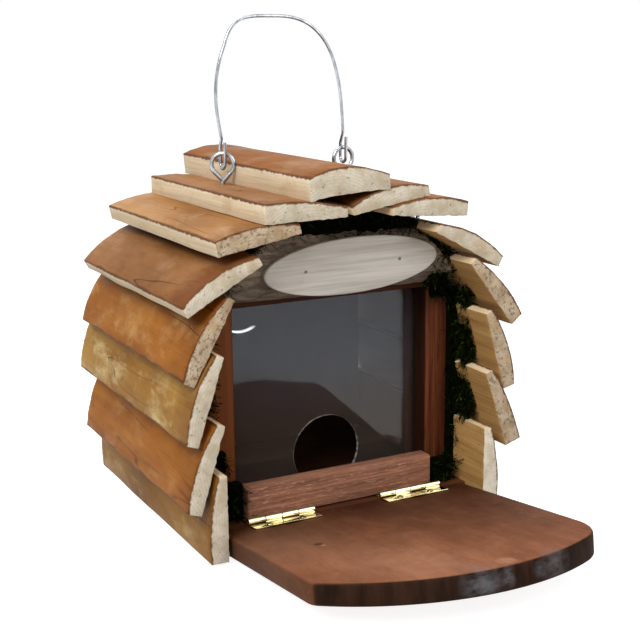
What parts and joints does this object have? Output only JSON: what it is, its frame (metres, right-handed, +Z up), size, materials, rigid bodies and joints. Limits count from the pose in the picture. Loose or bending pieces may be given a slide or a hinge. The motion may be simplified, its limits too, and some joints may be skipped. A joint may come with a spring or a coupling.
{
  "type": "squirrel feeder",
  "caption": "Arched wooden squirrel feeder with lapped bark slats, a clear window with a feeding hole, a fold-up hinged platform and a wire handle.",
  "frame": {"origin": "middle of the base board's underside, on the surface the feeder stands on", "axes": "+Z up, the window and the platform face -Y, +X to the right seen from the front"},
  "size_m": [0.1963, 0.2887, 0.2673],
  "materials": {
    "stained_wood": "dark red-brown stain, satin",
    "bark_slat": "varnished outer face of a log, sawn pale on the cut sides",
    "grey_bark": "rough grey-brown bark",
    "pale_wood": "planed, pale, matt",
    "clear_sheet": "clear acrylic sheet, polished",
    "brass": "polished",
    "zinc_wire": "zinc plated, bright",
    "moss": "dried moss, matt"
  },
  "bodies": {
    "house": {"base_board": "stained_wood", "back_panel": "stained_wood", "front_former": "stained_wood", "left_jamb": "stained_wood", "right_jamb": "stained_wood", "top_rail": "stained_wood", "sill_strip": "stained_wood", "window_panel": "clear_sheet", "lintel_log": "grey_bark", "name_plaque": "pale_wood", "plaque_pins": "brass", "ridge_slat": "bark_slat", "left_slat_1": "bark_slat", "left_slat_2": "bark_slat", "left_slat_3": "bark_slat", "left_slat_4": "bark_slat", "left_slat_5": "bark_slat", "left_slat_6": "bark_slat", "left_slat_7": "bark_slat", "right_slat_1": "bark_slat", "right_slat_2": "bark_slat", "right_slat_3": "bark_slat", "right_slat_4": "bark_slat", "right_slat_5": "bark_slat", "right_slat_6": "bark_slat", "right_slat_7": "bark_slat", "slat_nails": "zinc_wire", "left_moss": "moss", "right_moss": "moss", "top_moss": "moss", "left_screw_eye": "zinc_wire", "right_screw_eye": "zinc_wire", "left_hinge_fixed_leaf": "brass", "right_hinge_fixed_leaf": "brass", "left_hinge_pin": "brass", "right_hinge_pin": "brass", "fixed_leaf_screws": "brass"},
    "platform": {"platform_board": "stained_wood", "left_hinge_moving_leaf": "brass", "right_hinge_moving_leaf": "brass", "moving_leaf_screws": "brass"},
    "handle": {"wire_handle": "zinc_wire"}
  },
  "joints": [
    {"name": "platform_fold", "type": "hinge", "parent": "house", "child": "platform", "pos_m": [0, -0.06517, 0.01335], "axis": [-1, 0, 0], "range_deg": [0, 80.5]},
    {"name": "handle_swing", "type": "hinge", "parent": "house", "child": "handle", "pos_m": [0, 0.006, 0.1954], "axis": [1, 0, 0], "range_deg": [-88, 88]}
  ]
}
